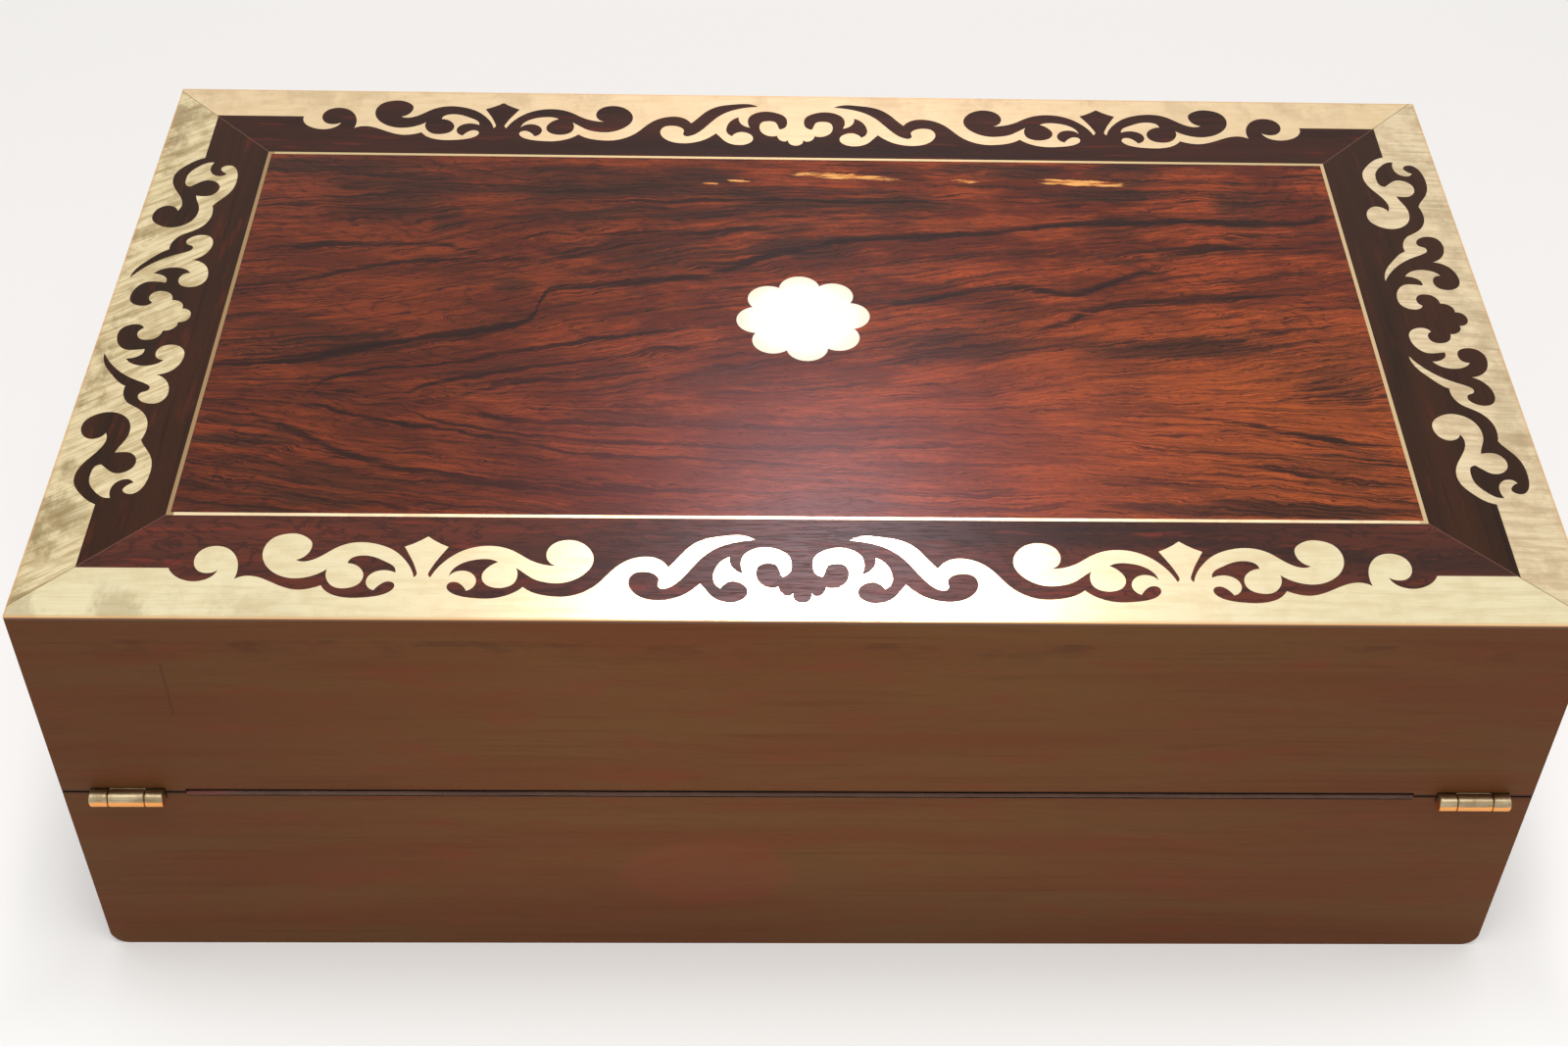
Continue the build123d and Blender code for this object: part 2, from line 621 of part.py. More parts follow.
# One half of the long cut line between brass and rosewood, from the corner to the middle. Each inner list
# is a smooth stretch between two cusps, as distances from the left edge and from the near edge.
long_scroll = [
    [(37.5, 17.2), (39, 15), (42, 13), (45, 12.5), (48, 13.5), (50, 16.5)],
    [(50, 16.5), (48, 15.5), (45.5, 16), (43.6, 19), (43.6, 21.5), (45, 24), (48, 25.2), (51, 24.5),
     (53.5, 22), (54.9, 18), (54.7, 13.4)],
    [(54.7, 13.4), (58, 14.6), (61, 14), (64, 12.5), (68, 10.5), (71, 9.8), (74, 10.2), (76.8, 11.4)],
    [(76.8, 11.4), (80, 8.2), (84, 7.1), (88, 7.2), (92, 8), (94.5, 9.5), (95.3, 11), (95, 12.3),
     (93.5, 12.9), (91.8, 12), (90.3, 9.8)],
    [(90.3, 9.8), (89, 10.5), (88, 12.5), (88.5, 15), (90.5, 16.6), (93, 16.8), (95, 16)],
    [(95, 16), (94.5, 18), (92, 20), (89, 21.6), (85.5, 22.1), (83.3, 21.2), (82.5, 19.3)],
    [(82.5, 19.3), (85.5, 18), (87, 15.2), (86.2, 12), (83.5, 10.5), (80.3, 10.8), (78.2, 13),
     (77.6, 17.2)],
    [(77.6, 17.2), (76, 15.8), (73, 14.3), (70, 13.8), (67, 14.3), (64, 16), (61.5, 19), (60.4, 22.5),
     (60.8, 26), (62.5, 28.5), (65, 29.7), (68, 29.9), (70.5, 28.8), (72.3, 26.8), (72.5, 24.5),
     (71.5, 22), (69.2, 20.4)],
    [(69.2, 20.4), (71, 19.8), (73.5, 20.5), (76, 22.3), (79, 25), (82, 26.5), (86, 26.9), (90, 26),
     (94, 23.8), (97, 20.5), (98.8, 17.5), (99.8, 14.4)],
    [(99.8, 14.4), (100.4, 15.2), (100, 17.4), (99, 20), (97.5, 23), (96.3, 25.4)],
    [(96.3, 25.4), (98, 26.3), (100.5, 28), (101.9, 29.2)],
    [(101.9, 29.2), (103.3, 28), (105.8, 26.3), (107.5, 25.4)],
    [(107.5, 25.4), (106.3, 23), (104.8, 20), (103.8, 17.4), (103.4, 15.2), (104, 14.4)],
    [(104, 14.4), (105.3, 17.5), (107.3, 20.5), (110.3, 23.4), (114, 25.3), (118, 25.9), (122, 25.2),
     (125.5, 23.3), (128.5, 21), (131.5, 19.5), (135.6, 18.8)],
    [(135.6, 18.8), (133.6, 20.3), (132.8, 22.7), (133.3, 25.3), (135, 27.3), (137.5, 28.2),
     (140.5, 27.8), (143, 26), (144.7, 23), (144.9, 19.8), (143.6, 16.8), (141, 14.2), (137.5, 12.7),
     (133.8, 12.8), (130.5, 13.9), (127.8, 16), (125.4, 18.1)],
    [(125.4, 18.1), (126, 15), (125.2, 12.4), (123, 11), (120.2, 11), (118, 12.3), (117, 14.8),
     (117.9, 17.6), (120.7, 20)],
    [(120.7, 20), (119, 20.9), (115.7, 21), (112, 19.8), (109.6, 17.6), (108.7, 14.9)],
    [(108.7, 14.9), (110.5, 16.6), (113, 16.7), (115, 15.2), (115.7, 12.7), (114.8, 10.6),
     (113.5, 9.8)],
    [(113.5, 9.8), (112, 12), (110.3, 12.9), (108.8, 12.3), (108.5, 11), (109.3, 9.5), (111.8, 8),
     (115.8, 7.2), (119.8, 7.1), (123.8, 8.2), (127.7, 11.2)],
    [(127.7, 11.2), (131, 9), (135, 8), (139, 8), (143, 9.5), (146.5, 12.5), (150, 17.5), (153, 20.5),
     (157, 22.2), (160.5, 22), (162.8, 20.5), (164.2, 18.5)],
    [(164.2, 18.5), (166, 21), (169, 25.5), (173, 28.7), (178, 30), (183, 30.3), (186.2, 28.8)],
    [(186.2, 28.8), (183, 28.3), (178, 26.6), (173, 22.5), (170, 18), (167, 13.5), (164.5, 11.3),
     (162.5, 11), (161.8, 12), (162, 14), (160.8, 16), (158, 16.9), (155.5, 16.2), (154.3, 13.5),
     (154.8, 11), (157, 8.3), (160, 7), (164, 7), (168, 8.5), (171, 11), (172.5, 12.8)],
    [(172.5, 12.8), (174, 10.5), (176, 7.8), (179, 6.3), (182, 6.5), (184.3, 8.5), (184.5, 11),
     (183, 13), (180.5, 13.7), (178.8, 12.8), (177.8, 11.2)],
    [(177.8, 11.2), (176, 13.5), (176, 17), (177.5, 20.5), (179.8, 22.4)],
    [(179.8, 22.4), (180, 20), (181, 18), (183.5, 16.4)],
    [(183.5, 16.4), (182.8, 20), (183.5, 23), (186, 25.3), (189, 26), (192, 25.3), (195, 23),
     (195.8, 19.5), (195, 16.5), (193.4, 15.5)],
    [(193.4, 15.5), (192.7, 17.5), (191.8, 19.7), (189.8, 20.3), (187.5, 19.5), (186.7, 16.5),
     (187.5, 13.5), (190, 11.5), (192.5, 11.8)],
    [(192.5, 11.8), (193, 10), (194.5, 8.6), (196.2, 9.5)],
    [(196.2, 9.5), (196.3, 7.8), (197.2, 6.6), (198.5, 6.2)],
]

# One half of the short cut line, from the near corner to the middle of the side. Distances are from the
# left edge and from the near edge, as above.
short_scroll = [
    [(14, 40.3), (12, 41.5), (9, 44.5), (6.8, 48), (6.3, 52), (7, 55), (8.8, 58.5), (10.5, 61.5),
     (11.5, 65), (10.8, 68.2)],
    [(10.8, 68.2), (9, 66), (7, 65.7), (5, 67), (3.8, 70), (4.2, 73), (6.5, 75.5), (10, 76.7), (13, 76),
     (15.8, 73.5), (17, 70), (16.8, 66), (15.5, 62.5), (14.9, 60.3)],
    [(14.9, 60.3), (16.5, 60.6), (19, 60.3), (21, 58), (21, 55), (19.5, 53), (16.5, 52.3), (14.3, 53.7),
     (12.3, 55.6)],
    [(12.3, 55.6), (11, 55), (10.3, 52.5), (10.7, 48.5), (13, 45), (15.5, 43), (17.3, 42.8)],
    [(17.3, 42.8), (16.7, 45.5), (17, 47.5), (18.5, 49.5), (20.5, 50), (22.2, 48.6)],
    [(22.2, 48.6), (20.5, 47.3), (20, 45.8), (21, 44.6), (23, 44.5), (24.5, 46), (25.5, 49), (25.8, 53),
     (25.3, 57), (23.8, 60.5), (21.8, 63.5), (20.8, 65.5)],
    [(20.8, 65.5), (21.3, 68), (21.2, 72), (19.5, 76), (16.5, 78.8), (14.3, 80.3), (12.5, 83),
     (12, 87.5)],
    [(12, 87.5), (10, 89), (7.5, 92), (5, 95.5), (3.7, 98.5), (3.3, 101.5)],
    [(3.3, 101.5), (5, 98.5), (8, 94.8), (12, 91.5), (15, 89.8), (17.5, 88.5), (18.8, 87), (18.3, 85.6),
     (17, 85), (16.3, 83.5), (17.3, 81.5), (20, 80.3), (22.5, 80.8), (24, 83), (24.2, 86), (23.3, 89),
     (21.5, 91.3), (19.5, 92.5)],
    [(19.5, 92.5), (22, 93.3), (24.3, 95.5), (25.5, 99), (25.3, 102.5), (23.5, 104.8), (20.5, 105.4),
     (18.3, 104.3), (17.5, 102), (18, 100), (20.3, 98.8)],
    [(20.3, 98.8), (18.5, 97), (15, 96.2), (12, 97), (9.7, 99.3)],
    [(9.7, 99.3), (12, 99.8), (13.8, 101.4), (14, 103.5)],
    [(14, 103.5), (11, 103), (8.5, 103.3), (6.3, 105.5), (5.2, 109), (5.8, 112.5), (8, 114.2),
     (11, 114), (12, 112.7)],
    [(12, 112.7), (10.8, 109.5), (11.8, 108), (13.8, 107.5), (16.3, 108.5), (17.3, 110.3),
     (17.5, 111.7)],
    [(17.5, 111.7), (19.3, 112), (20.8, 113.5), (21, 115.5)],
    [(21, 115.5), (22.8, 116), (23.8, 117.3), (24, 118.6)],
]


def cut_line(half, axis, lead, middle, end, level, base=0.0, scale=1.0):
    """Edges of a whole cut line, a smooth curve for each stretch between cusps. The drawn half runs from
    the lead to the middle, and is turned over to run on to the end. Heights start at the base, and the
    straight leads to the corners lie at the level."""
    drawn_lead = half[0][0][axis]
    drawn_run = half[-1][-1][axis] - drawn_lead

    def placed(point, edge):
        where = [base + value * scale for value in point]
        where[axis] = edge + (point[axis] - drawn_lead) * (middle - edge) / drawn_run
        if point == half[0][0]:
            where[1 - axis] = level
        return at(*where)

    first = [[placed(point, lead) for point in stretch] for stretch in half]
    second = [[placed(point, end) for point in reversed(stretch)] for stretch in reversed(half)]
    return [Spline(*stretch) for stretch in first + second]


def at(x, y):
    """A point of the top, from distances to the left edge and to the near edge."""
    return (x - half_w, y + back_y)


def closed_face(edges, start, end, outside):
    """The face between a cut line that runs from start to end and the corners outside it."""
    route = [end, *outside, start]
    straight = [Line(a, b) for a, b in zip(route, route[1:])]
    return make_face(edges + straight)


def region(a, b, outward):
    """The mitred region of one border: its inner edge from a to b, spread at 45 degrees to the outside."""
    run = width
    lean = (b[0] - a[0] > 0, b[1] - a[1] > 0)
    if lean[0]:
        far = [(b[0] + run, b[1] + outward * run), (a[0] - run, a[1] + outward * run)]
    else:
        far = [(b[0] + outward * run, b[1] + run), (a[0] + outward * run, a[1] - run)]
    points = [at(*p) for p in (a, b, *far)]
    return make_face(Polyline(*points, close=True)) & Rectangle(width, depth)


def veneer(face):
    """A veneer of the given outline, on the lid board."""
    return Pos(0, 0, veneer_z) * extrude(face, veneer_t)


panel_corners = [
    (border_left, border_near),
    (width - border_right, border_near),
    (width - border_right, depth - border_far),
    (border_left, depth - border_far),
]


def border(name, a, b, outward, line, axis):
    """Brass and rosewood of one border, parted by its cut line."""
    start = line[0] @ 0
    end = line[-1] @ 1
    run = width
    if axis == 0:
        corners = [(end.X + run, end.Y), (end.X + run, outward * run)]
        corners += [(start.X - run, outward * run), (start.X - run, start.Y)]
    else:
        corners = [(end.X, end.Y + run), (outward * run, end.Y + run)]
        corners += [(outward * run, start.Y - run), (start.X, start.Y - run)]
    outside = closed_face(line, (start.X, start.Y), (end.X, end.Y), corners)
    whole = region(a, b, outward)
    brass = veneer(whole & outside)
    parts[f"brass_border_{name}"] = brass
    parts[f"wood_border_{name}"] = veneer(whole) - brass


def borders():
    """The four mitred borders. Opposite sides share one drawing, with brass and wood exchanged."""
    near_left, near_right, far_right, far_left = panel_corners
    middle_x = width / 2
    middle_y = depth / 2
    near = cut_line(long_scroll, 0, near_lead, middle_x + near_offset, width - near_lead, strip_near)
    far = cut_line(
        long_scroll, 0, far_lead_left, middle_x + far_offset, width - far_lead_right,
        depth - strip_far, depth - far_scroll_reach, far_scroll_scale,
    )
    left = cut_line(
        short_scroll, 1, left_lead_near, middle_y + left_offset, depth - left_lead_far, strip_left
    )
    right = cut_line(
        short_scroll, 1, right_lead_near, middle_y + right_offset, depth - right_lead_far,
        width - strip_right, width - right_scroll_reach,
    )
    border("near", near_left, near_right, -1, near, 0)
    border("far", far_left, far_right, 1, far, 0)
    border("left", near_left, far_left, -1, left, 1)
    border("right", near_right, far_right, 1, right, 1)


def flower():
    """Pearl rosette: petals of equal size, each a round lobe between two notches."""
    points = []
    for place in range(2 * flower_petals):
        angle = math.radians(flower_turn) + place * math.pi / flower_petals
        radius = (flower_notch_radius, flower_tip_radius)[place % 2]
        points.append((flower_x + radius * math.cos(angle), flower_y + radius * math.sin(angle)))
    points.append(points[0])
    lobes = [ThreePointArc(*points[notch : notch + 3]) for notch in range(0, 2 * flower_petals, 2)]
    return make_face(lobes)


def top_veneers():
    """Centre panel with the rosette let in, the stringing round it, and the borders."""
    low, high = at(*panel_corners[0]), at(*panel_corners[2])
    size = (high[0] - low[0], high[1] - low[1])
    middle = Pos((low[0] + high[0]) / 2, (low[1] + high[1]) / 2)
    frame = middle * Rectangle(*size)
    inner = middle * Rectangle(size[0] - 2 * stringing_w, size[1] - 2 * stringing_w)
    rosette = flower()
    parts["brass_stringing"] = veneer(frame) - veneer(inner)
    parts["rosewood_panel"] = veneer(inner) - veneer(rosette)
    parts["pearl_rosette"] = veneer(rosette)
    borders()


base_carcass()
lid_carcass()
hinges()
fold_leather()
writing_flap("upper", -1, upper_flap_u)
writing_flap("lower", 1, lower_flap_u)
ledges()
pen_section()
parts["ink_pins"] = [inkwell(name, x) for name, x in well_centres.items()]
lock()
link_plate()
flap_catch()
top_veneers()

os.makedirs("parts", exist_ok=True)
for node, solid in parts.items():
    if isinstance(solid, list):
        solid = Compound(children=solid)
    export_step(solid, f"parts/{node}.step")
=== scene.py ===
import math

import bmesh
import bpy
from mathutils import Matrix, Vector, noise


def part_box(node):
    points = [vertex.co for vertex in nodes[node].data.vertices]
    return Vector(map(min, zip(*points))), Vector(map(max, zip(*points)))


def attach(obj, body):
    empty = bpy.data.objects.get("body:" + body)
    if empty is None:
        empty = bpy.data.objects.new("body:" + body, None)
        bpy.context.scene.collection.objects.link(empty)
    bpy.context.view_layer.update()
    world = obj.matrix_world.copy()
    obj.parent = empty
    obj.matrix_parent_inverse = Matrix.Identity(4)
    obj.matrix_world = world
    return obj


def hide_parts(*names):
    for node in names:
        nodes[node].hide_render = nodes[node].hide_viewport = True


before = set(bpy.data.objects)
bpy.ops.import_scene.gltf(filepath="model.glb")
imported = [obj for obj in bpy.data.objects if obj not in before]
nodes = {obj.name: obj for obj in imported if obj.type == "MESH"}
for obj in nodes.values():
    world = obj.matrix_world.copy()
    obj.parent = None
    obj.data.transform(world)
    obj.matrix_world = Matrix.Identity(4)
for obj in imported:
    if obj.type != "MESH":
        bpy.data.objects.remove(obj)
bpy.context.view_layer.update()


# The view of the photograph: from the hinge side and above, a little left of the middle, through a lens
# of moderate length.
sight = bpy.data.cameras.new("view")
sight.sensor_width = 36
sight.lens = 51.35
sight.shift_x = -0.0314
sight.shift_y = 0.0054
viewer = bpy.data.objects.new("view", sight)
viewer.location = (-0.0100, -0.5015, 0.5464)
viewer.rotation_euler = [math.radians(turn) for turn in (45.573, -1.428, -0.897)]
bpy.context.scene.collection.objects.link(viewer)
bpy.context.scene.camera = viewer
bpy.context.scene.view_settings.view_transform = "Standard"


# A pale table in an even white room. One broad lamp hangs over the box, and a small pinkish one beyond it
# is seen as a haze in the polish near the middle. Close to the box the table keeps its full shadow.
def tone(red, green, blue):
    """A colour as it looks on screen, from 0 to 255."""
    shares = [value / 255 for value in (red, green, blue)]
    linear = [s / 12.92 if s <= 0.04045 else ((s + 0.055) / 1.055) ** 2.4 for s in shares]
    return (*linear, 1.0)


class Mark:
    """A number, colour or place that varies over a surface. What Python does with marks becomes nodes."""

    def __init__(self, tree, socket):
        self.tree = tree
        self.socket = socket

    def node(self, kind, settings, sockets, out=0):
        made = self.tree.nodes.new("ShaderNode" + kind)
        for name, value in settings.items():
            setattr(made, name, value)
        for name, value in sockets.items():
            if isinstance(value, Mark):
                self.tree.links.new(value.socket, made.inputs[name])
            else:
                made.inputs[name].default_value = value
        return Mark(self.tree, made.outputs[out])

    def maths(self, operation, *values):
        return self.node("Math", {"operation": operation}, dict(enumerate(values)))

    def __add__(self, other):
        return self.maths("ADD", self, other)

    def __sub__(self, other):
        return self.maths("SUBTRACT", self, other)

    def __rsub__(self, other):
        return self.maths("SUBTRACT", other, self)

    def __mul__(self, other):
        return self.maths("MULTIPLY", self, other)

    def __truediv__(self, other):
        return self.maths("DIVIDE", self, other)

    def __pow__(self, other):
        return self.maths("POWER", self, other)

    def __gt__(self, other):
        return self.maths("GREATER_THAN", self, other)

    def __lt__(self, other):
        return self.maths("LESS_THAN", self, other)

    def __abs__(self):
        return self.maths("ABSOLUTE", self)

    __radd__ = __add__
    __rmul__ = __mul__

    def sine(self):
        return self.maths("SINE", self)

    def least(self, other):
        return self.maths("MINIMUM", self, other)

    def most(self, other):
        return self.maths("MAXIMUM", self, other)

    def through(self, places):
        """The height, at this distance along, of a line drawn through places. Both are under 400."""
        made = self.node("FloatCurve", {}, {"Value": self / 400})
        line = made.socket.node.mapping.curves[0]
        for _ in places[2:]:
            line.points.new(0.5, 0.5)
        for spot, (along, height) in zip(line.points, places):
            spot.location = (along / 400, height / 400)
            spot.handle_type = "AUTO_CLAMPED"
        made.socket.node.mapping.update()
        return made * 400

    def step(self, low, high):
        """0 at low and 1 at high, eased at both ends."""
        span = {"Value": self, "From Min": low, "From Max": high}
        return self.node("MapRange", {"interpolation_type": "SMOOTHSTEP"}, span)

    def blend(self, low, high):
        """The colour low where this is 0, and high where it is 1."""
        return self.node("Mix", {"data_type": "RGBA"}, {0: self, 6: low, 7: high}, 2)

    def shifted(self, other):
        return self.node("VectorMath", {"operation": "ADD"}, {0: self, 1: other})

    def stretched(self, sizes):
        """This place, measured in sizes along X, Y and Z."""
        return self.node("VectorMath", {"operation": "DIVIDE"}, {0: self, 1: sizes})

    def cloud(self, sizes, detail=3.0, rough=0.55, swirl=0.0):
        """Soft clouds about as large as sizes, in millimetres along X, Y and Z."""
        look = {"Scale": 1.0, "Detail": detail, "Roughness": rough, "Distortion": swirl}
        return self.node("TexNoise", {}, {"Vector": self.stretched(sizes), **look})


def point(x, y, z):
    """A place from its three numbers."""
    return x.node("CombineXYZ", {}, {"X": x, "Y": y, "Z": z})


class Finish:
    """The finish of one real surface. place is where a point lies, in millimetres."""

    def __init__(self, name, **fixed):
        self.material = bpy.data.materials.new(name)
        self.material.use_nodes = True
        self.tree = self.material.node_tree
        self.surface = self.tree.nodes["Principled BSDF"]
        for socket, value in fixed.items():
            self.surface.inputs[socket.replace("_", " ")].default_value = value
        coordinates = self.tree.nodes.new("ShaderNodeTexCoord")
        self.place = Mark(self.tree, coordinates.outputs["Object"]).stretched((0.001, 0.001, 0.001))
        split = self.tree.nodes.new("ShaderNodeSeparateXYZ")
        self.tree.links.new(self.place.socket, split.inputs[0])
        self.x, self.y, self.z = (Mark(self.tree, socket) for socket in split.outputs)

    def vary(self, **sockets):
        for socket, mark in sockets.items():
            self.tree.links.new(mark.socket, self.surface.inputs[socket.replace("_", " ")])

    def relief(self, height, depth):
        """Raises the surface by up to depth, in millimetres, where height is 1."""
        bump = {"Strength": 1.0, "Distance": depth / 1000, "Height": height}
        self.vary(Normal=height.node("Bump", {}, bump))

    def on(self, *names):
        for name in names:
            nodes[name].data.materials.clear()
            nodes[name].data.materials.append(self.material)


room = bpy.data.worlds.new("room")
room.use_nodes = True
bpy.context.scene.world = room
sky = room.node_tree.nodes["Background"]
sky.inputs["Color"].default_value = (1.0, 0.99, 0.98, 1.0)


def looked_at(tree):
    """1 where a surface is seen by the camera, in polish or through glass, and 0 where it gives light."""
    paths = tree.nodes.new("ShaderNodeLightPath")
    names = ("Camera", "Glossy", "Transmission")
    ways = [Mark(tree, paths.outputs[f"Is {name} Ray"]) for name in names]
    return ways[0].most(ways[1]).most(ways[2])


seen = looked_at(room.node_tree)
lit_by_room = 0.72
seen_in_room = 0.86
strength = lit_by_room + seen * (seen_in_room - lit_by_room)
room.node_tree.links.new(strength.socket, sky.inputs["Strength"])

table_finish = Finish("table", Roughness=0.9, Specular_IOR_Level=0.1)
distance = table_finish.y.step(-150, 420)
table_finish.vary(Base_Color=distance.blend(tone(247, 247, 247), tone(224, 226, 224)))
glow = table_finish.y.step(-120, 160).blend(tone(255, 255, 253), tone(233, 231, 227))
backdrop = distance.node("Emission", {}, {"Color": glow, "Strength": 1.08})
half_w, half_d, height = 200, 117, 138
clear = (abs(table_finish.x) - half_w).most(abs(table_finish.y) - half_d).step(4, 45)
share = looked_at(table_finish.tree) * (clear * 0.4 + 0.06)
lit = Mark(table_finish.tree, table_finish.surface.outputs[0])
mixed = lit.node("MixShader", {}, {0: share, 1: lit, 2: backdrop})
table_output = table_finish.tree.nodes["Material Output"]
table_finish.tree.links.new(mixed.socket, table_output.inputs["Surface"])
sheet = bmesh.new()
bmesh.ops.create_grid(sheet, x_segments=1, y_segments=1, size=4)
table_mesh = bpy.data.meshes.new("table")
sheet.to_mesh(table_mesh)
table = bpy.data.objects.new("table", table_mesh)
table_mesh.materials.append(table_finish.material)
bpy.context.scene.collection.objects.link(table)


def lamp(name, place, aim, size, power, colour):
    light = bpy.data.lights.new(name, "AREA")
    light.shape = "DISK"
    light.size = size
    light.energy = power
    light.color = colour
    hung = bpy.data.objects.new(name, light)
    hung.location = place
    hung.rotation_euler = (Vector(place) - Vector(aim)).to_track_quat("Z", "Y").to_euler()
    bpy.context.scene.collection.objects.link(hung)


lamp("over", (0.05, -0.4, 1.85), (0, 0, 0.08), 1.4, 14.0, (1.0, 0.97, 0.92))
lamp("beyond", (0.03, 0.71, 1.02), (0, -0.1, 0.138), 0.13, 3.0, (1.0, 0.78, 0.88))


# The carcass: boards of plain brown mahogany, glued up square, with the long walls running through at the
# corners. It is faded outside. The hinge side has a scratch, smudges and a redder oval.
def boards(name, along, faded, ruddy, dark, lined, **fixed):
    """A finish of boards with the grain along an axis and lines of dark, its colour, streaks and pores."""
    wood = Finish(name, **fixed)
    sizes = lambda length, breadth: [length if axis == along else breadth for axis in "XYZ"]
    sway = wood.place.cloud(sizes(150, 60), 2) * 9
    bent = wood.place.shifted(point(sway, sway, sway))
    broad = bent.cloud(sizes(150, 16), 3, 0.5, 0.3)
    streak = bent.cloud(sizes(90, 1.6), 4, 0.6)
    pores = bent.cloud(sizes(7, 0.45), 2, 0.5)
    colour = broad.step(0.32, 0.68).blend(faded, ruddy)
    colour = (streak.step(0.5, 0.78) * lined).blend(colour, dark)
    colour = (pores.step(0.56, 0.72) * lined * 0.45).blend(colour, dark)
    return wood, colour, streak, pores


outside = dict(Specular_IOR_Level=0.1)
joint_rise, joint_run = 40.0, 235.9
axis_y, axis_z = -118.9, 69
rake = math.atan2(joint_rise, joint_run)
wall = 10
leather_end = 167
for name, along, board_names in (
    ("mahogany_long", "X", ["base_back_wall", "lid_back_wall", "base_front_wall", "lid_front_wall"]),
    ("mahogany_side", "Y", ["base_left_wall", "base_right_wall", "lid_left_wall", "lid_right_wall"]),
    ("mahogany_flat", "X", ["lid_board", "base_bottom"]),
):
    wood, colour, streak, pores = boards(
        name, along, tone(108, 72, 39), tone(108, 62, 33), tone(84, 49, 26), 0.4, **outside
    )
    if name == "mahogany_long":
        across = (wood.x + 27) / 25
        up = (wood.z - 34) / 14
        oval = (across * across + up * up + wood.place.cloud((9, 9, 9)) * 0.5).step(1.5, 0.9)
        behind = wood.y.step(-116.5, -116.9)
        colour = (oval * behind * 0.5).blend(colour, tone(124, 66, 42))
        red = wood.place.cloud((30, 9, 9), 4, 0.6).step(0.5, 0.72)
        colour = (red * 0.6).blend(colour, tone(118, 58, 35))
        cut = (abs(wood.x + 164.5) < 0.35) * (wood.z > 101) * (wood.z < 121)
        smudge = wood.place.cloud((16, 8, 7), 3, 0.6).step(0.5, 0.68) * wood.z.step(118, 134) * 1.3
        colour = (cut.most(smudge) * behind * 0.35).blend(colour, tone(58, 36, 24))
    inside = (half_w - wall + 0.2 - abs(wood.x)).least(half_d - wall + 0.2 - abs(wood.y)).step(0.0, 0.1)
    colour = (inside * 0.6).blend(colour, tone(128, 74, 44))
    # Painted shade and grime: the outside darkens towards the bottom, partly as grime and partly as painted
    # shade, and towards both ends, which is painted shade. The inside is left out.
    low = wood.z.step(50, 0) * 0.32
    grime_and_shade = low.most(wood.x.step(-40, -210) * 0.3).most(wood.x.step(0, 200) * 0.22) * (1 - inside)
    colour = grime_and_shade.blend(colour, tone(56, 24, 6))
    # Painted shade: within about a millimetre of the joint between lid and base the wood is darkened, most
    # at the outer face, standing for the shadow in the gap there. On the open rims it shows as dark edges.
    over_joint = abs((wood.z - axis_z) * math.cos(rake) - (wood.y - axis_y) * math.sin(rake))
    beside_leather = (abs(wood.x) < leather_end) * (wood.y < 0)
    over_joint = over_joint - beside_leather * 0.75
    at_face = (half_w - abs(wood.x)).least(half_d - abs(wood.y)).step(1.5, 0.5)
    colour = (over_joint.step(1.1, 0.2) * (at_face * 0.7 + 0.15)).blend(colour, tone(36, 22, 18))
    # Painted shade: the rebate that holds the fold's roll is painted near black.
    rebate = (wood.y > -116.93) * (wood.y < -116) * (over_joint < 0.55)
    colour = rebate.blend(colour, tone(24, 12, 10))
    wood.vary(Base_Color=colour, Roughness=0.42 + streak * 0.2)
    wood.relief(1 - pores.step(0.5, 0.75), 0.05)
    wood.on(*board_names)


# The fittings of the case. Partition, dividers and the scooped pen tray are of redder mahogany that the
# light has not faded, with ink spots. Floor, bearers, ledges and flap boards are of pine.
fitted, colour, streak, pores = boards(
    "fitted_mahogany", "X", tone(136, 78, 47), tone(112, 60, 36), tone(70, 36, 22), 0.75,
    Specular_IOR_Level=0.3,
)
spots = fitted.place.cloud((5, 5, 5), 3, 0.7).step(0.66, 0.7)
fitted.vary(Base_Color=(spots * 0.85).blend(colour, tone(24, 22, 34)), Roughness=0.5 + streak * 0.2)
fitted.relief(1 - pores.step(0.5, 0.75), 0.05)
fitted.on("pen_partition", "pen_tray", "well_dividers")

pine, colour, streak, pores = boards(
    "pine", "X", tone(176, 132, 82), tone(158, 112, 66), tone(118, 76, 44), 0.75, Specular_IOR_Level=0.2
)
pine.vary(Base_Color=colour, Roughness=0.6 + streak * 0.2)
pine.relief(1 - pores.step(0.5, 0.75), 0.04)
pine.on(
    "pen_floor", "tray_bearers", "base_flap_ledges", "lid_flap_ledges", "upper_flap_board",
    "lower_flap_board",
)


# The centre panel of the lid: one leaf of rosewood veneer, red-brown with black streaks, glued to the lid
# board. The streaks lie flat near the hinges and climb further on. Sapwood shows in a few flashes.
def corner_distances(finish):
    """How far a point of the top lies inside the two nearest edges of the panel."""
    right = finish.x > 0
    far = finish.y > 0
    return 167 - abs(finish.x) - right * 2.7, 80.5 - abs(finish.y) + far * 2.2


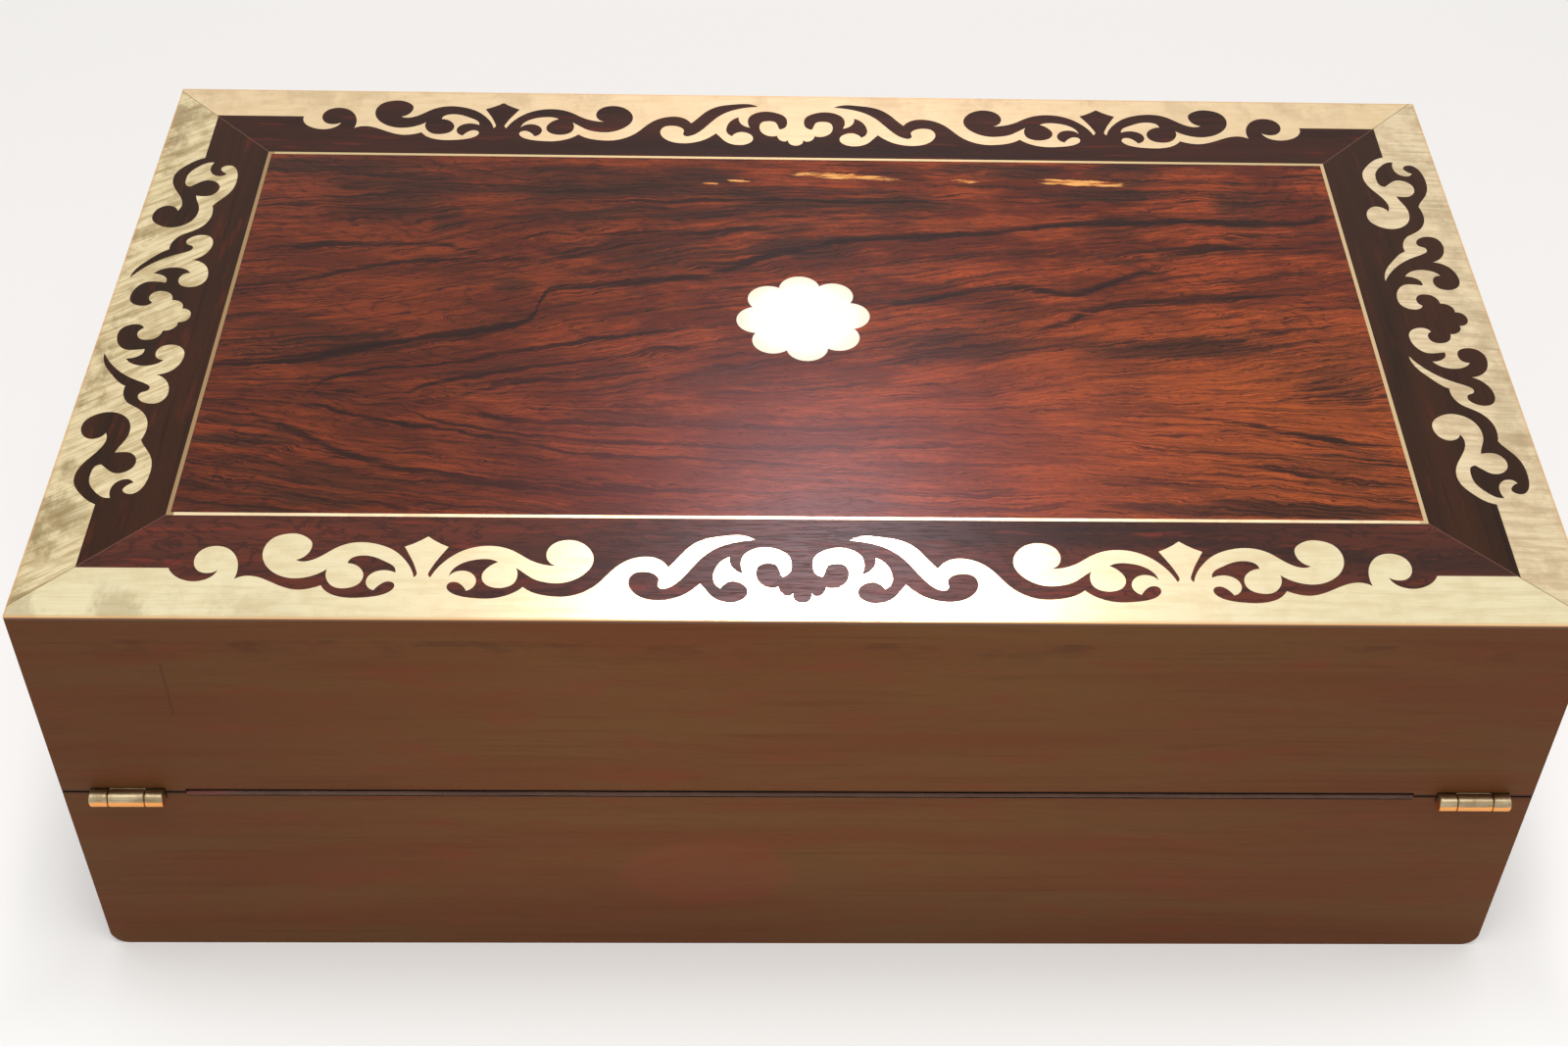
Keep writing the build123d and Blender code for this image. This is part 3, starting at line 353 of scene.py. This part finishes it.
panel = Finish("rosewood_panel", Specular_IOR_Level=0.14)
u = panel.x + half_w
v = panel.y + half_d
wander = panel.place.cloud((44, 22, 40), 3, 0.5) - 0.5
ripple = panel.place.cloud((9, 3.5, 9), 3, 0.6) - 0.5
v_bent = v + wander * 7 + ripple * 3.4
for eye_u, eye_v, size in (
    (157, 103, 11), (182, 101, 7), (60, 183, 12), (49, 172, 8), (236, 172, 9), (128, 175, 7), (96, 82, 9),
    (276, 122, 8), (330, 160, 7),
):
    from_u = u - eye_u + wander * 9
    from_v = v - eye_v + ripple * 6
    near = (from_u * from_u + from_v * from_v * 2) ** 0.5
    v_bent = v_bent - from_v * near.step(size, 1) * 0.85
grain = []
for length, breadth, detail in ((40, 2.8, 4), (32, 0.6, 3), (24, 0.28, 2)):
    woven = None
    for middle_u, low_slope, slope in (
        (40, -0.2, 0.14), (125, -0.14, 0.28), (210, -0.02, 0.2), (320, -0.1, 0.2),
    ):
        lean = (v_bent.step(68, 104) * (slope - low_slope) + low_slope) * v_bent.step(188, 150)
        across = v_bent - (u - middle_u) * lean
        here = point(u, across + middle_u, panel.z).cloud((length, breadth, 26), detail, 0.6, 0.5)
        if woven is None:
            woven = here
        else:
            woven = woven + (here - woven) * u.step(middle_u - 68, middle_u - 24)
    grain.append(woven)
bands, streaks, fibres = grain
pores = point(u, v_bent, panel.z).cloud((4, 0.3, 26), 2, 0.5)

ragged = panel.place.cloud((12, 4, 12), 4, 0.65) - 0.5
smoke = None
for middle_u, middle_v, half_u, half_v, depth in (
    (74, 180, 22, 17, 0.7), (56, 193, 24, 5, 0.7), (140, 182, 50, 4, 1.0), (168, 190, 12, 7, 0.7),
    (198, 153, 18, 6, 0.9), (262, 194, 20, 5, 0.9), (290, 183, 24, 3.5, 0.8), (300, 193, 12, 6, 0.7),
    (165, 150, 38, 7, 0.6), (136, 164, 12, 5, 0.7), (192, 163, 12, 5, 0.6), (334, 174, 8, 14, 0.6),
    (246, 107, 24, 7, 0.7), (303, 108, 38, 5, 0.8), (62, 48, 34, 13, 0.6), (176, 93, 14, 7, 0.5),
    (148, 94, 9, 6, 0.5), (48, 66, 18, 3, 0.7), (225, 176, 22, 6, 0.7), (350, 92, 12, 7, 0.6),
    (115, 133, 7, 4, 0.7), (345, 60, 22, 6, 0.5), (200, 41, 90, 2.5, 0.5), (320, 41, 45, 3, 0.9),
    (92, 168, 5, 12, 0.6), (120, 190, 30, 4, 0.3), (170, 173, 62, 13, 0.5), (150, 186, 40, 6, 0.5),
    (60, 112, 30, 8, 0.35), (150, 78, 18, 6, 0.4),
):
    far_u = (u - middle_u) / half_u
    far_v = (v_bent - middle_v) / half_v
    spot = (far_u * far_u + far_v * far_v).step(1.7, 0.1) * depth
    smoke = spot if smoke is None else smoke.most(spot)
vein = None
for half, strength, places in (
    (3.4, 1.0, ((30, 97), (60, 100), (80, 106), (100, 110.5), (112, 114), (121, 119), (125, 131), (130, 133),
                (150, 136.5), (176, 140))),
    (3.0, 0.9, ((170, 140), (192, 151), (215, 157), (240, 160), (262, 163.5), (285, 167.5), (345, 168.5),
                (364, 172))),
    (2.2, 0.7, ((33, 132), (55, 136), (70, 142), (85, 145), (120, 147))),
    (2.8, 0.7, ((42, 151), (70, 153), (90, 154), (106, 149))),
    (2.8, 0.9, ((222, 126), (245, 132), (257, 135), (276, 132), (290, 138), (308, 147))),
    (3.2, 0.8, ((266, 114), (285, 124), (300, 128), (338, 133))),
    (2.8, 0.9, ((308, 152), (318, 154), (336, 157))),
    (3.2, 0.75, ((42, 79), (60, 70), (80, 60), (100, 53), (125, 49), (175, 47))),
    (1.6, 0.9, ((62, 85), (66, 90), (100, 99), (130, 108), (170, 116))),
    (1.6, 0.9, ((62, 81), (85, 75), (110, 69), (150, 60), (200, 58))),
    (1.6, 1.0, ((88, 84), (96, 89), (112, 94), (140, 101), (172, 108))),
    (1.6, 1.0, ((88, 81), (97, 76), (115, 71), (150, 66), (240, 64))),
    (1.4, 0.9, ((104, 84), (112, 88), (130, 92), (160, 96))),
    (1.4, 0.9, ((104, 82), (112, 78), (130, 75), (160, 73), (230, 72))),
    (1.8, 0.6, ((200, 48), (245, 46.5), (266, 44.5))),
    (2.0, 0.7, ((305, 62), (322, 57), (340, 53), (364, 51))),
    (2.0, 0.7, ((300, 80), (318, 76), (340, 70), (364, 66))),
    (2.0, 0.6, ((98, 157), (140, 158), (190, 162))),
    (2.4, 0.7, ((130, 174), (165, 176), (240, 177))),
):
    start, end = places[0][0], places[-1][0]
    run = u.step(start - 6, start + 10).least(u.step(end + 6, end - 10)) * strength
    here = abs(v_bent - u.through(places)).step(half, 0) * run
    vein = here if vein is None else vein.most(here)
patches = panel.place.cloud((34, 11, 50), 4, 0.65)
red = patches.step(0.4, 0.62).blend(tone(100, 38, 17), tone(158, 68, 29))
warm = (u.step(200, 330) * v.step(150, 90) * 0.6).blend(red, tone(178, 88, 38))
colour = (u.step(260, 60) * 0.55).blend(warm, tone(92, 42, 23))
corner = u.step(60, 50) * v.step(160, 170)
colour = (corner * 0.6).blend(colour, tone(132, 60, 34))
colour = (fibres.step(0.4, 0.6) * 0.6).blend(colour, tone(66, 27, 17))
dark = bands + smoke * 0.28 + vein * 0.08 + ragged * 0.14
colour = (dark.step(0.46, 0.78) * 0.8).blend(colour, tone(56, 33, 21))
dark = streaks + smoke * 0.08 + vein * 0.2 + ragged * 0.06 + (bands - 0.5) * 0.35
colour = (dark.step(0.53, 0.63) * 0.72).blend(colour, tone(30, 15, 11))
rings = (panel.place.cloud((64, 24, 40), 3, 0.45) * 105 + v_bent * 1.3).sine().step(0.55, 1.0)
ringed = u.step(200, 120).most(u.step(250, 300) * v.step(90, 115)) * fibres.step(0.36, 0.56) * 0.5
colour = (rings * ringed).blend(colour, tone(36, 17, 13))
colour = ((vein * streaks * 2).step(0.3, 1.0) * 0.6).blend(colour, tone(26, 14, 11))
# Painted reflection: a faint pinkish haze of the lamp in the polish, over the middle of the panel on the
# hinge side.
painted_haze = u.step(80, 190) * u.step(340, 230) * v.step(125, 65)
colour = (painted_haze * 0.2).blend(colour, tone(172, 90, 86))
colour = (pores.step(0.56, 0.7) * 0.5).blend(colour, tone(26, 11, 8))
flash = None
for middle_u, middle_v, half_u, half_v in (
    (213, 190, 19, 1.8), (286, 188, 17, 2.0), (171, 185.5, 3, 0.8), (180, 187, 4, 0.8), (250, 188, 5, 1.0),
):
    across = (u - middle_u) / half_u
    up = (v - middle_v - (middle_u - u) * 0.06) / half_v
    spot = 1 - across * across - up * up
    flash = spot if flash is None else flash.most(spot)
ragged = panel.place.cloud((7, 1.2, 50), 3, 0.7)
flash = (flash + (ragged - 0.5) * 3.2).step(0.2, 0.8)
colour = (flash * 0.9).blend(colour, ragged.step(0.4, 0.6).blend(tone(196, 116, 52), tone(238, 176, 98)))
panel.vary(Base_Color=colour, Roughness=0.2 + pores * 0.1)
panel.relief(1 - pores.step(0.52, 0.72), 0.006)
panel.on("rosewood_panel")


# The borders: dark rosewood and sheet brass, fitted into each other along one cut line and mitred at the
# corners. The brass is brushed at another angle on each strip, partly tarnished, and brightest beside the
# hinges.
for name, along, lively, sober, red, shine, haze in (
    ("near", "X", tone(94, 42, 26), tone(56, 28, 18), 0.75, 0.18, 0.22),
    ("far", "X", tone(60, 30, 20), tone(42, 23, 15), 0.3, 0.1, 0.3),
    ("left", "Y", tone(56, 30, 15), tone(42, 25, 12), 0.22, 0.1, 0.3),
    ("right", "Y", tone(56, 31, 16), tone(42, 26, 14), 0.15, 0.1, 0.3),
):
    wood, colour, streak, pores = boards(
        f"rosewood_{name}", along, lively, sober, tone(28, 15, 9), 0.75, Specular_IOR_Level=shine
    )
    a, b = corner_distances(wood)
    mitre = abs(a - b).step(0.32, 0.08)
    glowing = (26, 3, 20) if along == "X" else (3, 26, 20)
    ember = wood.place.cloud(glowing, 3, 0.6).step(0.56, 0.7)
    colour = (ember * red).blend(colour, tone(112, 42, 28))
    if name == "near":
        figure = abs(wood.place.cloud((17, 6, 20), 4, 0.62, 0.8) - 0.5)
        colour = (figure.step(0.045, 0.0) * 0.6).blend(colour, tone(34, 17, 12))
    colour = (mitre * 0.5).blend(colour, tone(128, 88, 74))
    wood.vary(Base_Color=colour, Roughness=haze + streak * 0.12)
    wood.relief(1 - pores.step(0.5, 0.75), 0.02)
    wood.on(f"wood_border_{name}")


def brass(name, lean, bright, dull, worn=0.5):
    """Old sheet brass, brushed at an angle to X, and the marks of its scratches and tarnish."""
    metal = Finish(name, Metallic=1.0)
    cosine, sine = math.cos(math.radians(lean)), math.sin(math.radians(lean))
    brushed = point(metal.x * cosine + metal.y * sine, metal.y * cosine - metal.x * sine, metal.z)
    scratch = brushed.cloud((34, 0.5, 0.5), 3, 0.7)
    sweep = brushed.cloud((16, 2.4, 8), 3, 0.6)
    blotch = metal.place.cloud((8, 8, 16), 4, 0.68)
    colour = (blotch.step(0.42, 0.72) * 0.6).blend(bright, dull)
    colour = (scratch.step(0.42, 0.7) * worn).blend(colour, dull)
    colour = (sweep.step(0.45, 0.68) * worn).blend(colour, dull)
    return metal, colour, scratch, blotch


for name, lean, bright, dull, haze, worn, tarnish in (
    ("near", 0, tone(255, 243, 201), tone(232, 214, 168), 0.11, 0.5, 0.32),
    ("far", 4, tone(250, 224, 180), tone(226, 198, 152), 0.16, 0.35, 0.2),
    ("left", 38, tone(255, 238, 192), tone(184, 160, 112), 0.17, 0.75, 0.6),
    ("right", -3, tone(246, 228, 188), tone(196, 172, 134), 0.2, 0.55, 0.25),
):
    metal, colour, scratch, blotch = brass(f"brass_{name}", lean, bright, dull, worn)
    a, b = corner_distances(metal)
    mitre = abs(a - b).step(0.3, 0.08)
    outer = (half_w - abs(metal.x)).least(half_d - abs(metal.y))
    edge = metal.z.step(height - 0.05, height - 0.4)
    buried = metal.z.step(height - 0.45, height - 0.65)
    grey = metal.place.cloud((14, 22, 16), 4, 0.7).step(0.47, 0.62) * outer.step(19, 3)
    if name == "near":
        grey = grey * metal.x.step(-110, -175)
    colour = (grey * tarnish).blend(colour, tone(138, 116, 76))
    colour = (outer.step(1.0, 0.2) * 0.45).blend(colour, tone(232, 176, 112))
    colour = (mitre * 0.7).blend(colour, tone(120, 96, 62))
    colour = edge.blend(colour, tone(214, 148, 84))
    colour = buried.blend(colour, tone(92, 58, 38))
    metal.vary(
        Base_Color=colour,
        Metallic=1 - buried,
        Roughness=scratch * 0.14 + blotch * 0.08 + haze,
    )
    metal.relief(scratch, 0.012)
    metal.on(f"brass_border_{name}")

string, colour, scratch, _ = brass("brass_string", 0, tone(250, 234, 192), tone(206, 184, 138))
colour = (string.y > 79).blend(colour, tone(204, 186, 138))
colour = (string.x > 162).blend(colour, tone(206, 184, 140))
colour = (string.x < -165).blend(colour, tone(166, 140, 100))
string.vary(Base_Color=colour, Roughness=0.32 + scratch * 0.12)
string.on("brass_stringing")


# The rosette: one flat piece of mother-of-pearl with eight lobes, let in flush at the middle of the panel
# and polished with it.
pearl = Finish("pearl", Specular_IOR_Level=0.5, Roughness=0.22)
growth = pearl.place.cloud((5, 9, 20), 3, 0.5, 1.4)
sheen = growth.step(0.35, 0.6).blend(tone(250, 247, 240), tone(240, 236, 228))
sheen = (pearl.place.cloud((9, 5, 20), 2, 0.5, 0.8).step(0.5, 0.72) * 0.5).blend(sheen, tone(246, 232, 232))
middle = [(low + high) * 500 for low, high in zip(*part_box("pearl_rosette"))]
from_middle = ((pearl.x - middle[0]) ** 2 + (pearl.y - middle[1]) ** 2) ** 0.5
# Painted shade: the outer part of the lobes is darker and yellower than the middle.
sheen = (from_middle.step(13, 19.5) * 0.9).blend(sheen, tone(236, 224, 194))
pearl.vary(Base_Color=sheen)
pearl.on("pearl_rosette")


# The fittings of brass: the butt hinges, let in and screwed, the lock, the catch of the lower flap, and the
# collars and caps of the inkwells. They are scratched and carry brown dirt in patches. The outer lower half
# of each hinge barrel is painted orange, a painted reflection.
def fitting(name, bright, dull, *node_names):
    metal, colour, scratch, _ = brass(name, 0, bright, dull)
    dirt = metal.place.cloud((3, 3, 3), 3, 0.6).step(0.5, 0.75)
    colour = (dirt * 0.5).blend(colour, tone(120, 90, 58))
    metal.vary(Base_Color=colour, Roughness=0.26 + scratch * 0.15 + dirt * 0.15)
    metal.relief(scratch + dirt * 0.5, 0.02)
    metal.on(*node_names)
    return metal, colour


hinge_brass, colour = fitting(
    "hinge_brass", tone(196, 180, 146), tone(136, 114, 84),
    "hinge_leaf_base_left", "hinge_leaf_base_right", "hinge_leaf_lid_left", "hinge_leaf_lid_right",
    "hinge_pins",
)
# Painted reflection: below the hinge line, on the outside, the barrels are painted orange, as if reflecting
# the wood.
ragged_z = hinge_brass.z - hinge_brass.place.cloud((3, 3, 3), 3)
under = ragged_z.step(axis_z + 0.35, axis_z + 0.1) * (hinge_brass.y < -118)
hinge_brass.vary(Base_Color=under.blend(colour, tone(246, 168, 92)))
fitting("screw_brass", tone(216, 184, 124), tone(150, 118, 72), "hinge_screws_base", "hinge_screws_lid")
fitting(
    "lock_brass", tone(226, 192, 120), tone(166, 132, 74), "lock_case", "lock_escutcheon", "lock_bolt",
    "link_plate", "flap_catch_plate", "flap_catch_bolt",
)
fitting(
    "inkwell_brass", tone(232, 198, 124), tone(176, 140, 80), "ink_collar_left", "ink_collar_right",
    "ink_cap_left", "ink_cap_right", "ink_pins",
)


# Crossbanding of the writing flaps: rosewood veneer glued around the leather on three sides of each
# board, with the grain along the box.
for name in ("upper", "lower"):
    wood, colour, streak, pores = boards(
        f"{name}_band", "X", tone(104, 56, 38), tone(76, 38, 29), tone(34, 18, 18), 0.75,
        Specular_IOR_Level=0.3,
    )
    wood.vary(Base_Color=colour, Roughness=0.3 + streak * 0.15)
    wood.relief(1 - pores.step(0.5, 0.75), 0.03)
    wood.on(f"{name}_flap_band")


# The fold: a strip of thin leather between the hinges, rolled back along the hinge line and glued into a
# rebate in the base's rim, with a flat strip facing it in the lid. Years of use left the roll uneven.
def hide(name, skin, worn):
    """Grained leather, lighter where it is scuffed, and the mark of its scuffs."""
    leather = Finish(name, Specular_IOR_Level=0.3)
    cells = {"Vector": leather.place, "Scale": 1.1}
    pebble = leather.place.node("TexVoronoi", {"feature": "DISTANCE_TO_EDGE"}, cells).step(0.0, 0.22)
    scuff = leather.place.cloud((26, 26, 26), 5, 0.7)
    colour = scuff.step(0.42, 0.82).blend(skin, worn)
    colour = ((1 - pebble) * 0.5).blend(colour, skin)
    leather.vary(Base_Color=colour, Roughness=0.5 + scuff * 0.2)
    leather.relief(pebble + scuff * 0.6, 0.08)
    return leather, colour


pin_low, pin_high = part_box("hinge_pins")
hinge_line = Vector((0, (pin_low.y + pin_high.y) / 2, (pin_low.z + pin_high.z) / 2))
to_metres = Matrix.Diagonal((0.001, 0.001, 0.001, 1))
up_joint = Matrix.Translation(hinge_line) @ Matrix.Rotation(rake, 4, "X") @ to_metres


def in_joint(name):
    """A CAD piece's least and greatest x, u up the joint from the hinge line and n above it, in mm."""
    back = up_joint.inverted()
    places = [back @ corner.co for corner in nodes[name].data.vertices]
    return [(min(values), max(values)) for values in zip(*places)]


def piece(name, shape, place, finish, body, slot, *replaced):
    """An object from a shape in millimetres, set in its place, on the body that carries it."""
    bmesh.ops.transform(shape, matrix=place, verts=shape.verts)
    bmesh.ops.recalc_face_normals(shape, faces=shape.faces)
    for face in shape.faces:
        face.smooth = True
    mesh = bpy.data.meshes.new(name)
    shape.to_mesh(mesh)
    shape.free()
    mesh.set_sharp_from_angle(angle=math.radians(40))
    mesh.materials.append(finish.material)
    made = bpy.data.objects.new(name, mesh)
    bpy.context.scene.collection.objects.link(made)
    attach(made, body)
    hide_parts(*replaced)
    return made


def slab(shape, x, y, z, rounding, segments=2):
    """Adds a block between the given limits, with its edges rounded over."""
    middle = Vector([(low + high) / 2 for low, high in (x, y, z)])
    size = Matrix.Diagonal([high - low for low, high in (x, y, z)] + [1])
    made = bmesh.ops.create_cube(shape, size=1, matrix=Matrix.Translation(middle) @ size)
    edges = list({edge for corner in made["verts"] for edge in corner.link_edges})
    bmesh.ops.bevel(
        shape, geom=edges, offset=rounding, segments=segments, profile=0.5, affect="EDGES", material=-1
    )


fold_finish, colour = hide("fold_hide", tone(78, 54, 44), tone(104, 78, 64))
frayed = fold_finish.x.step(-150, -160)
fold_finish.vary(Base_Color=(frayed * 0.7).blend(colour, tone(112, 58, 50)))
roll_x, roll_u, roll_n = in_joint("fold_leather")
roll_radius = 0.58
core = Vector((0, roll_u[0] + roll_radius, -0.1))
roll = bmesh.new()
upright = Matrix.Translation((roll_x[0], core.y, 0)) @ Matrix.Rotation(math.pi / 2, 4, "Y")
ring = bmesh.ops.create_circle(roll, segments=20, radius=roll_radius, matrix=upright)
rim = list({edge for corner in ring["verts"] for edge in corner.link_edges})
steps = 240
stretch = Vector(((roll_x[1] - roll_x[0]) / steps, 0, 0))
bmesh.ops.spin(roll, geom=rim, cent=(0, 0, 0), axis=(1, 0, 0), dvec=stretch, angle=0, steps=steps)
for corner in roll.verts:
    spot = corner.co.x
    from_end = spot - roll_x[0]
    lumps = 1 + 0.1 * noise.noise(corner.co * 0.35)
    sag = 0.14 * noise.noise(Vector((spot * 0.05, 3, 0))) - 0.25 * max(0.0, 1 - from_end / 9)
    corner.co.y = core.y + (corner.co.y - core.y) * lumps
    corner.co.z = core.z + corner.co.z * lumps + sag
bmesh.ops.holes_fill(roll, edges=[edge for edge in roll.edges if edge.is_boundary], sides=0)
lid_x, lid_u, lid_n = in_joint("fold_leather_lid")
slab(roll, roll_x, (core.y, roll_u[1]), (roll_n[0], -lid_n[0]), 0.2)
piece("fold_roll", roll, up_joint, fold_finish, "base", "writing_leather", "fold_leather")
facing = bmesh.new()
slab(facing, lid_x, lid_u, lid_n, 0.2)
piece("fold_facing", facing, up_joint, fold_finish, "lid", "writing_leather", "fold_leather_lid")


# The writing skins: dark red leather a millimetre thick, glued down inside the crossbanding of each flap.
# Each is tooled all round with two gilt lines and a row of small gilt beads between them, and its edges
# are rounded over.
for name in ("upper", "lower"):
    skin_x, skin_u, skin_n = in_joint(f"{name}_flap_leather")
    skin_finish, colour = hide(f"{name}_hide", tone(82, 32, 33), tone(104, 46, 42))
    u_here = (skin_finish.y - hinge_line.y * 1000) * math.cos(rake) + (
        skin_finish.z - hinge_line.z * 1000
    ) * math.sin(rake)
    middle = (skin_u[0] + skin_u[1]) / 2
    in_from_end = skin_x[1] - abs(skin_finish.x)
    in_from_side = (skin_u[1] - skin_u[0]) / 2 - abs(u_here - middle)
    margin = in_from_end.least(in_from_side)
    lines = (abs(margin - 6) < 0.3).most(abs(margin - 10.5) < 0.2)
    wave = (skin_finish.x * 1.9).sine().most((u_here * 1.9).sine())
    beads = (abs(margin - 8.2) < 0.7) * (wave > 0.55)
    gilt = lines.most(beads) * skin_finish.place.cloud((2, 2, 2), 2).step(0.3, 0.42)
    skin_finish.vary(Base_Color=gilt.blend(colour, tone(222, 184, 104)), Metallic=gilt)
    skin = bmesh.new()
    slab(skin, skin_x, skin_u, skin_n, 0.3, 3)
    made = piece(
        f"{name}_skin", skin, up_joint, skin_finish, f"{name}_flap", "writing_leather",
        f"{name}_flap_leather",
    )
    cut = ((skin_x[1] - skin_x[0]) / 1000, (skin_u[1] - skin_u[0]) / 1000)


# The inkwells: square bottles of clear glass, faintly green, one in the well at each end of the pen
# section, with a brass collar on its neck.
glass = Finish("bottle_glass", Roughness=0.04, IOR=1.5, Transmission_Weight=1.0)
film = glass.place.cloud((6, 6, 9), 3).step(0.4, 0.7)
glass.vary(Base_Color=film.blend(tone(236, 246, 240), tone(222, 236, 226)), Roughness=0.03 + film * 0.05)
glass.on("ink_bottle_left", "ink_bottle_right")
